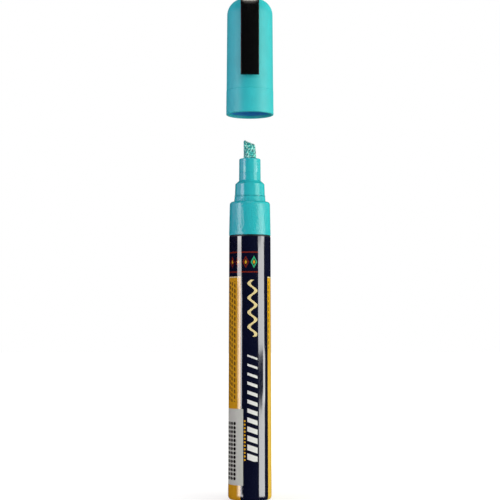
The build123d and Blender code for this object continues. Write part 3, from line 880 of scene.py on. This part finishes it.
# Cap shell: the same turquoise plastic with a satin, spark-eroded finish. It has a domed end, a slightly
# thicker band at the mouth, and a channel across the dome for the root of the clip. Its inner wall has
# painted shade: a darker blue for the shadow inside the cap.
CAP_MOUTH = 139.50
CAP_BAND = 148.30
CAP_ROOF = 179.10
CAP_TOP = 182.50
CAP_BORE = 7.69
CAP_DRAFT = 0.42  # degrees
CAP_WALL = 0.94
CAP_LEAD = 1.0
CAP_BAND_STEP = 0.06
CAP_GROOVE = (0.07, 0.10)  # depth and half height
CAP_DOME = 6.0
MOUTH_ROUNDS = (0.2, 0.3)
GROOVE_ROUNDS = (0.03, 0.02)
ROOF_ROUND = 1.2
CAP_ARC_STEPS = 14
CAP_TURQUOISE = (0.016, 0.48, 0.535, 1)
# Painted shade: CAP_SHADE is a darker, bluer colour on the cap's inner wall, for the shadow inside the
# cap. The depth below says how far from the bore a face still counts as that wall.
CAP_SHADE = (0.022, 0.25, 0.66, 1)
PAINTED_SHADE_DEPTH = 0.05
CLIP_WIDTH = 6.7
CLIP_THICK = 1.5
CLIP_TOP = 182.65
CLIP_END = -2.234
PEG = (4.6, 2.2, 1.6)  # width, depth and height
PLAY = 0.03
CHANNEL_FRONT = -20
CHANNEL_CLEAR = 1
SOCKET_CLEAR = 0.5


def cap_bore(height):
    """Radius inside the cap, drawn in towards its closed end."""
    return CAP_BORE - (height - CAP_MOUTH) * tan(radians(CAP_DRAFT))


def with_box(mesh, low, high, operation):
    """Joins a box, given by two corners in millimetres, to a closed mesh, or cuts it out."""
    work = bmesh.new()
    bmesh.ops.create_cube(work, size=1.0)
    for vert in work.verts:
        vert.co = [(high[i] if vert.co[i] > 0 else low[i]) * MM for i in range(3)]
    tool_mesh = bpy.data.meshes.new("box")
    work.to_mesh(tool_mesh)
    work.free()
    tool = bpy.data.objects.new("box", tool_mesh)
    solid = bpy.data.objects.new("solid", mesh)
    for item in (tool, solid):
        bpy.context.collection.objects.link(item)
    change = solid.modifiers.new("change", "BOOLEAN")
    change.operation = operation
    change.object = tool
    change.solver = "EXACT"
    result = evaluated(solid, mesh.name)
    bpy.data.objects.remove(tool)
    return result


mouth_radius = cap_bore(CAP_MOUTH)
band_radius = cap_bore(CAP_BAND) + CAP_WALL
groove_depth, groove_half = CAP_GROOVE
cap_outline = [
    (mouth_radius, CAP_MOUTH, MOUTH_ROUNDS[0]),
    (mouth_radius + CAP_WALL + CAP_BAND_STEP, CAP_MOUTH, MOUTH_ROUNDS[1]),
    (band_radius + CAP_BAND_STEP, CAP_BAND - groove_half, GROOVE_ROUNDS[0]),
    (band_radius - groove_depth, CAP_BAND - groove_half / 2, GROOVE_ROUNDS[1]),
    (band_radius - groove_depth, CAP_BAND + groove_half / 2, GROOVE_ROUNDS[1]),
    (band_radius, CAP_BAND + groove_half, GROOVE_ROUNDS[0]),
    (cap_bore(CAP_TOP) + CAP_WALL, CAP_TOP, CAP_DOME),
    (0, CAP_TOP),
    (0, CAP_ROOF),
    (cap_bore(CAP_ROOF), CAP_ROOF, ROOF_ROUND),
    (cap_bore(CAP_MOUTH + CAP_LEAD), CAP_MOUTH + CAP_LEAD),
]
satin_turquoise = moulded_plastic(
    "satin_turquoise", CAP_TURQUOISE, mottle=0.22, gloss=(0.40, 0.52), grain=2600.0, relief=0.02, ior=1.55
)
# Painted shade for the inner wall of the cap, in place of the cap's own turquoise
painted_shade_inside = moulded_plastic(
    "painted_shade_inside", CAP_SHADE, mottle=0.15, gloss=(0.3, 0.4), grain=2600.0, relief=0.006
)
cap_mesh = turned_mesh("cap_shell_satin", rounded(cap_outline, CAP_ARC_STEPS), TURN_STEPS)
clip_under = CLIP_TOP - CLIP_THICK
cap_mesh = with_box(
    cap_mesh,
    (-CLIP_WIDTH / 2 - PLAY, CHANNEL_FRONT, clip_under),
    (CLIP_WIDTH / 2 + PLAY, CLIP_END + PLAY, CAP_TOP + CHANNEL_CLEAR),
    "DIFFERENCE",
)
cap_mesh = with_box(
    cap_mesh,
    (-PEG[0] / 2 - PLAY, CLIP_END - PEG[1] - PLAY, clip_under - PEG[2] - PLAY),
    (PEG[0] / 2 + PLAY, CLIP_END + PLAY, clip_under + SOCKET_CLEAR),
    "DIFFERENCE",
)
cap_shell = mesh_object("cap_shell_satin", cap_mesh, "cap", satin_turquoise)
cap_mesh.materials.append(painted_shade_inside)
# Painted shade: faces of the inner wall, from the lead-in up to the roof, take the darker inside colour
for face in cap_mesh.polygons:
    height = face.center.z / MM
    in_painted_shade = face.center.xy.length / MM < cap_bore(height) + PAINTED_SHADE_DEPTH
    face.material_index = int(in_painted_shade and CAP_MOUTH + CAP_LEAD < height < CAP_ROOF + HAIR)
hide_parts("cap_shell")


# Inner seal of the cap: a stepped cup moulded in natural polyethylene. Six fins centre it in the shell,
# and it closes round the nozzle and the nib so that they don't dry.
SEAL_WHITE = (0.60, 0.64, 0.64, 1)
seal_plastic = moulded_plastic(
    "seal_plastic", SEAL_WHITE, mottle=0.08, gloss=(0.4, 0.5), grain=2500.0, relief=0.006
)
dress(seal_plastic, "cap_seal")


# Clip: a flat strap moulded in polished black plastic and bent over the dome. A peg under its root is
# pressed into the cap, and a small bump on the back of its lower end grips.
CLIP_LOW = 152.6
CLIP_INNER = -9.434
CLIP_BEND = 4.6
CLIP_EDGE = 0.22
CLIP_EDGE_ANGLE = 40
CLIP_EDGE_STEPS = 3
CLIP_BEND_STEPS = (16, 10)
CLIP_BUMP_RADIUS = 0.6
CLIP_BUMP_PLACE = 2.0
CLIP_BUMP_STEPS = 10
CLIP_BLACK = (0.0012, 0.0012, 0.0014, 1)


def strap_mesh(name, outline, half_width):
    """A closed outline of (y, z) in millimetres, drawn out to both sides along X."""
    work = bmesh.new()
    sides = [
        [work.verts.new((x * MM, y * MM, z * MM)) for y, z in outline] for x in (-half_width, half_width)
    ]
    work.faces.new(sides[0])
    work.faces.new(sides[1][::-1])
    count = len(outline)
    for i in range(count):
        j = (i + 1) % count
        work.faces.new((sides[0][j], sides[0][i], sides[1][i], sides[1][j]))
    bmesh.ops.recalc_face_normals(work, faces=work.faces)
    mesh = bpy.data.meshes.new(name)
    work.to_mesh(mesh)
    work.free()
    return mesh


clip_outer = CLIP_INNER - CLIP_THICK
clip_outline = rounded(
    [
        (CLIP_END, CLIP_TOP),
        (clip_outer, CLIP_TOP, CLIP_BEND),
        (clip_outer, CLIP_LOW),
        (CLIP_INNER, CLIP_LOW),
    ],
    CLIP_BEND_STEPS[0],
)
clip_outline += arc(CLIP_INNER, CLIP_LOW + CLIP_BUMP_PLACE, CLIP_BUMP_RADIUS, -90, 90, CLIP_BUMP_STEPS)
clip_outline += rounded(
    [
        (CLIP_INNER, CLIP_LOW),
        (CLIP_INNER, clip_under, CLIP_BEND - CLIP_THICK),
        (CLIP_END, clip_under),
    ],
    CLIP_BEND_STEPS[1],
)[1:]
strap = bpy.data.objects.new("strap", strap_mesh("pocket_clip", clip_outline, CLIP_WIDTH / 2))
bpy.context.collection.objects.link(strap)
edges = strap.modifiers.new("edges", "BEVEL")
edges.width = CLIP_EDGE * MM
edges.segments = CLIP_EDGE_STEPS
edges.limit_method = "ANGLE"
edges.angle_limit = radians(CLIP_EDGE_ANGLE)
clip_mesh = with_box(
    evaluated(strap, "pocket_clip"),
    (-PEG[0] / 2, CLIP_END - PEG[1], clip_under - PEG[2]),
    (PEG[0] / 2, CLIP_END, clip_under + 2 * CLIP_EDGE),
    "UNION",
)
clip_black = moulded_plastic(
    "clip_black", CLIP_BLACK, mottle=0.3, gloss=(0.15, 0.21), grain=1800.0, relief=0.002, ior=1.8
)
clip = mesh_object("pocket_clip", clip_mesh, "cap", clip_black)
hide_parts("cap_clip")


# Studio: a pale floor that keeps the pen's shadow, and a white surround. Soft boxes to the left and right
# draw the long highlights, small ones above light the clip's bend and the dome, and broad washes that
# the camera doesn't see light the rest.
CAMERA_PLACE = (0.00005, -0.483, 0.0608)
CAMERA_PITCH = 3.45
CAMERA_FOCUS = 1326
CAMERA_NEAR = 0.01
IMAGE_SIDE = 500
FLOOR_HALF = 3.0
FLOOR_PAPER = ((0.36, 0.36, 0.36, 1), (0.40, 0.40, 0.40, 1))
FLOOR_GRAIN = 30.0
FLOOR_GLOW = 0.62
FLOOR_GLOW_REACH = 0.12
ROOM_LEVEL = 0.03
BACKDROP = (0.985, 0.999)  # how squarely a mirrored ray meets the white behind the pen
BOX_AIM = Vector((0, 0, 0.1))
WHITE = (1, 1, 1, 1)
LEFT_WHITE = (1.0, 0.97, 0.96)
RIGHT_WHITE = (1.0, 1.0, 0.98)
CLIP_WHITE = (1.0, 0.95, 0.86)

# Azimuth and elevation in degrees, and brightness in red, green and blue
WASHES = (
    (64, -15, (2.3, 2.5, 1.9)),
    (0, -15, (0.15, 0.05, 0.4)),
    (158, 0, (1.25, 1.3, 1.25)),
    (-164, 0, (0.85, 0.85, 0.85)),
)

# Name, azimuth, height, distance, width, length, brightness and colour
SOFT_BOXES = (
    ("left_box", -60, 0.152, 0.6, 0.26, 0.096, 4.5, LEFT_WHITE),
    ("left_film_box", -53.8, 0.012, 0.6, 0.203, 0.184, 4.5, LEFT_WHITE),
    ("left_film_soft", -67.9, 0.012, 0.6, 0.0945, 0.184, 1.6, LEFT_WHITE),
    ("left_tail_box", -40.3, -0.0705, 0.6, 0.081, 0.021, 4.5, LEFT_WHITE),
    ("left_nose_box", -61, 0.171, 0.6, 0.22, 0.068, 1.9, (1.0, 1.0, 0.85)),
    ("right_film_box", 65.3, 0.0935, 0.6, 0.411, 0.087, 4.5, RIGHT_WHITE),
    ("right_nose_box", 76, 0.171, 0.6, 0.22, 0.068, 4.8, RIGHT_WHITE),
    ("right_nose_soft", 55, 0.171, 0.6, 0.22, 0.068, 2.2, RIGHT_WHITE),
    ("right_link_box", 83.5, 0.032, 0.6, 0.145, 0.036, 5.0, RIGHT_WHITE),
    ("right_mid_box", 79, 0.012, 0.6, 0.2, 0.008, 4.5, RIGHT_WHITE),
    ("right_low_box", 67.9, -0.0385, 0.6, 0.395, 0.093, 4.5, RIGHT_WHITE),
    ("left_cap_box", -62, 0.285, 0.6, 0.3, 0.15, 4.4, (1.0, 0.8, 1.0)),
    ("right_cap_box", 62, 0.285, 0.6, 0.4, 0.15, 2.9, (0.85, 1.0, 0.8)),
    ("left_fill", -99, 0.30, 0.6, 0.48, 0.3, 0.85, (0.95, 0.56, 0.9)),
    ("right_fill", 110, 0.30, 0.6, 0.3, 0.3, 0.4, (1.0, 1.0, 0.9)),
    ("clip_low_box", 0, 0.42, 0.4, 0.14, 0.12, 0.6, CLIP_WHITE),
    ("clip_mid_box", 0, 0.50, 0.33, 0.14, 0.06, 1.3, CLIP_WHITE),
    ("top_box", 0, 0.51, 0.24, 0.14, 0.10, 6.0, CLIP_WHITE),
    ("dome_box", 180, 0.62, 0.1, 0.14, 0.14, 8.0, (1.0, 0.97, 0.95)),
)


def floor_material():
    """White to the camera, with the pen's soft shadow."""
    made, tree, shader, place = new_material("studio_floor")
    tree.nodes.remove(shader)
    seen = put(tree, "ShaderNodeLightPath").outputs["Is Camera Ray"]
    grain = put(tree, "ShaderNodeTexNoise", {"Scale": FLOOR_GRAIN}).outputs["Fac"]
    matt = put(tree, "ShaderNodeBsdfDiffuse", {"Color": tint(tree, grain, *FLOOR_PAPER)}).outputs[0]
    away = put(tree, "ShaderNodeVectorMath", {0: place}, operation="LENGTH").outputs["Value"]
    level = ramp(tree, away, 0.0, FLOOR_GLOW_REACH, FLOOR_GLOW)
    glow = put(tree, "ShaderNodeEmission", {"Strength": calc(tree, "MULTIPLY", seen, level)}).outputs[0]
    whole = put(tree, "ShaderNodeAddShader", {0: matt, 1: glow}).outputs[0]
    tree.links.new(whole, tree.nodes["Material Output"].inputs["Surface"])
    return made


floor_corners = [(x * FLOOR_HALF, y * FLOOR_HALF, 0) for x, y in ((-1, -1), (1, -1), (1, 1), (-1, 1))]
floor_mesh = bpy.data.meshes.new("studio_floor")
floor_mesh.from_pydata(floor_corners, [], [(0, 1, 2, 3)])
floor_mesh.materials.append(floor_material())
floor = bpy.data.objects.new("studio_floor", floor_mesh)
bpy.context.collection.objects.link(floor)
floor.visible_glossy = False
floor.visible_shadow = False


def toward(azimuth, elevation=0):
    """The direction at an azimuth, 0 on the camera's side, and an elevation in degrees."""
    turn, rise = radians(azimuth), radians(elevation)
    return Vector((cos(rise) * sin(turn), -cos(rise) * cos(turn), sin(rise)))


world = bpy.data.worlds.new("studio")
bpy.context.scene.world = world
world.use_nodes = True
sky = world.node_tree
sky.nodes.clear()
rays = put(sky, "ShaderNodeLightPath").outputs
looking = put(sky, "ShaderNodeTexCoord").outputs["Generated"]
behind = ramp(sky, put(sky, "ShaderNodeSeparateXYZ", {0: looking}).outputs["Y"], *BACKDROP)
mirrored = calc(sky, "MAXIMUM", rays["Is Glossy Ray"], rays["Is Transmission Ray"])
backdrop = calc(sky, "MAXIMUM", rays["Is Camera Ray"], calc(sky, "MULTIPLY", mirrored, behind))
unseen = calc(sky, "SUBTRACT", 1.0, calc(sky, "MAXIMUM", rays["Is Camera Ray"], mirrored))
room = calc(sky, "MULTIPLY_ADD", unseen, ROOM_LEVEL, backdrop)
around = put(sky, "ShaderNodeBackground", {"Color": WHITE, "Strength": room}).outputs[0]
for azimuth, elevation, color in WASHES:
    aim = toward(azimuth, elevation)
    facing = put(sky, "ShaderNodeVectorMath", {0: looking, 1: aim}, operation="DOT_PRODUCT")
    lobe = calc(sky, "POWER", calc(sky, "MAXIMUM", facing.outputs["Value"], 0.0), 2.0)
    strength = calc(sky, "MULTIPLY", lobe, unseen)
    wash = put(sky, "ShaderNodeBackground", {"Color": (*color, 1), "Strength": strength}).outputs[0]
    around = put(sky, "ShaderNodeAddShader", {0: around, 1: wash}).outputs[0]
put(sky, "ShaderNodeOutputWorld", {"Surface": around})


def soft_box(name, azimuth, height, distance, width, length, brightness, color):
    """A rectangular soft box round the pen, upright unless it hangs well above or below."""
    data = bpy.data.lights.new(name, "AREA")
    data.shape = "RECTANGLE"
    data.size = width
    data.size_y = length
    data.energy = brightness * pi * width * length
    data.color = color
    lamp = bpy.data.objects.new(name, data)
    lamp.location = distance * toward(azimuth) + Vector((0, 0, height))
    aim = BOX_AIM - lamp.location
    if abs(aim.z) < distance / 2:
        aim.z = 0
    lamp.rotation_euler = aim.to_track_quat("-Z", "Y").to_euler()
    lamp.visible_camera = False
    bpy.context.collection.objects.link(lamp)


for box in SOFT_BOXES:
    soft_box(*box)

camera_data = bpy.data.cameras.new("camera")
camera_data.sensor_fit = "HORIZONTAL"
camera_data.lens = camera_data.sensor_width * CAMERA_FOCUS / IMAGE_SIDE
camera_data.clip_start = CAMERA_NEAR
camera = bpy.data.objects.new("camera", camera_data)
camera.location = CAMERA_PLACE
camera.rotation_euler = (radians(90 + CAMERA_PITCH), 0, 0)
bpy.context.collection.objects.link(camera)
bpy.context.scene.camera = camera
bpy.context.scene.view_settings.view_transform = "Standard"
